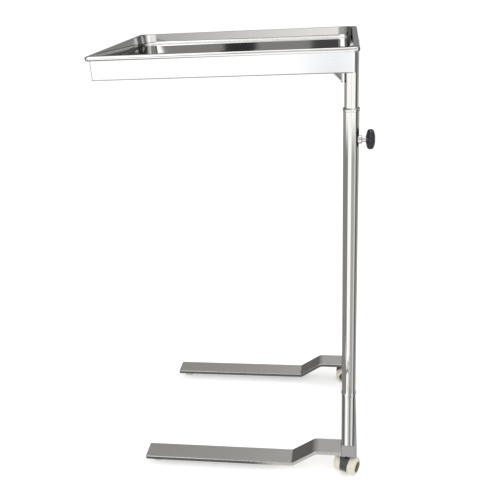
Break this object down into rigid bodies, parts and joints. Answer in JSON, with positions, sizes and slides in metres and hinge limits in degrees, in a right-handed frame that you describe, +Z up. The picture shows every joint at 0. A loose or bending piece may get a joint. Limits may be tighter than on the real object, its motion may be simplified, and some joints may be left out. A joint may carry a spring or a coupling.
{
  "type": "instrument stand",
  "caption": "Height-adjustable cantilever instrument stand with a lift-off steel tray, a clamp-locked sliding post, flat legs and twin-wheel casters.",
  "frame": {"origin": "on the floor, under the middle of the whole stand as it stands in the picture", "axes": "+Z up; the tray and the legs reach towards -X from the column and the clamp knob points to +X; -Y faces the viewer"},
  "size_m": [0.5116, 0.3971, 0.887],
  "materials": {
    "tray_steel": "polished and lightly brushed stainless steel",
    "frame_steel": "brushed stainless sheet",
    "post_steel": "polished stainless tube",
    "leg_steel": "satin stainless flat bar",
    "bright_trim": "bright plated",
    "fastener_steel": "plain steel",
    "white_nylon": "natural nylon",
    "brass": "turned brass",
    "knob_black": "moulded black plastic",
    "caster_black": "moulded black plastic",
    "caster_cream": "cream moulded nylon",
    "hub_olive": "olive brown moulded cap"
  },
  "bodies": {
    "base": {"crossbar": "leg_steel", "front_end_cap": "leg_steel", "rear_end_cap": "leg_steel", "front_leg": "leg_steel", "rear_leg": "leg_steel", "front_foot": "white_nylon", "rear_foot": "white_nylon", "front_foot_screw": "fastener_steel", "rear_foot_screw": "fastener_steel", "column": "post_steel", "column_liner": "white_nylon", "column_collar": "bright_trim", "foot_ring": "bright_trim", "column_plug": "fastener_steel", "column_washer": "fastener_steel", "column_bolt": "fastener_steel", "clamp_boss": "bright_trim", "front_caster_socket": "fastener_steel", "rear_caster_socket": "fastener_steel"},
    "lift": {"post_glide": "white_nylon"},
    "mast": {"inner_post": "post_steel", "post_plate": "frame_steel", "gusset_bracket": "frame_steel", "support_arm": "frame_steel", "post_end_rails": "frame_steel", "far_end_rails": "frame_steel", "tray_frame": "frame_steel"},
    "tray": {"instrument_tray": "tray_steel"},
    "clamp_shoe": {"pressure_pad": "brass"},
    "knob": {"clamp_screw": "bright_trim", "knob_insert": "brass", "clamp_knob": "knob_black"},
    "front_caster": {"front_caster_stem": "fastener_steel", "front_caster_centre": "caster_black", "front_caster_hood": "caster_black", "front_caster_axle": "fastener_steel"},
    "front_left_wheel": {"front_wheel_left": "caster_cream", "front_hub_cap_left": "hub_olive"},
    "front_right_wheel": {"front_wheel_right": "caster_cream", "front_hub_cap_right": "hub_olive"},
    "rear_caster": {"rear_caster_stem": "fastener_steel", "rear_caster_centre": "caster_black", "rear_caster_hood": "caster_black", "rear_caster_axle": "fastener_steel"},
    "rear_left_wheel": {"rear_wheel_left": "caster_cream", "rear_hub_cap_left": "hub_olive"},
    "rear_right_wheel": {"rear_wheel_right": "caster_cream", "rear_hub_cap_right": "hub_olive"}
  },
  "joints": [
    {"name": "post_lift", "type": "slide", "parent": "base", "child": "lift", "axis": [0, 0, 1], "range_m": [-0.065, 0.33]},
    {"name": "post_swivel", "type": "hinge", "parent": "lift", "child": "mast", "pos_m": [0.20825, 0.00553, 0.3], "axis": [0, 0, 1], "continuous": true},
    {"name": "tray_lift_off", "type": "slide", "parent": "mast", "child": "tray", "axis": [0, 0, 1], "range_m": [0, 0.15]},
    {"name": "shoe_travel", "type": "slide", "parent": "base", "child": "clamp_shoe", "axis": [1, 0, 0], "range_m": [0, 0.0025]},
    {"name": "knob_turn", "type": "hinge", "parent": "clamp_shoe", "child": "knob", "pos_m": [0.20825, 0.00553, 0.687], "axis": [1, 0, 0], "range_deg": [0, 720]},
    {"name": "front_caster_swivel", "type": "hinge", "parent": "base", "child": "front_caster", "pos_m": [0.20825, -0.16247, 0.046], "axis": [0, 0, 1], "continuous": true},
    {"name": "front_wheel_left_spin", "type": "hinge", "parent": "front_caster", "child": "front_left_wheel", "pos_m": [0.2036, -0.17244, 0.02], "axis": [0.9063, -0.4226, 0], "continuous": true},
    {"name": "front_wheel_right_spin", "type": "hinge", "parent": "front_caster", "child": "front_right_wheel", "pos_m": [0.2036, -0.17244, 0.02], "axis": [0.9063, -0.4226, 0], "continuous": true},
    {"name": "rear_caster_swivel", "type": "hinge", "parent": "base", "child": "rear_caster", "pos_m": [0.20825, 0.17353, 0.046], "axis": [0, 0, 1], "continuous": true},
    {"name": "rear_wheel_left_spin", "type": "hinge", "parent": "rear_caster", "child": "rear_left_wheel", "pos_m": [0.19725, 0.17353, 0.02], "axis": [0, -1, 0], "continuous": true},
    {"name": "rear_wheel_right_spin", "type": "hinge", "parent": "rear_caster", "child": "rear_right_wheel", "pos_m": [0.19725, 0.17353, 0.02], "axis": [0, -1, 0], "continuous": true}
  ],
  "couplings": [
    {"joint": "shoe_travel", "follows": "knob_turn", "m_per_rad": 0.00019894}
  ]
}
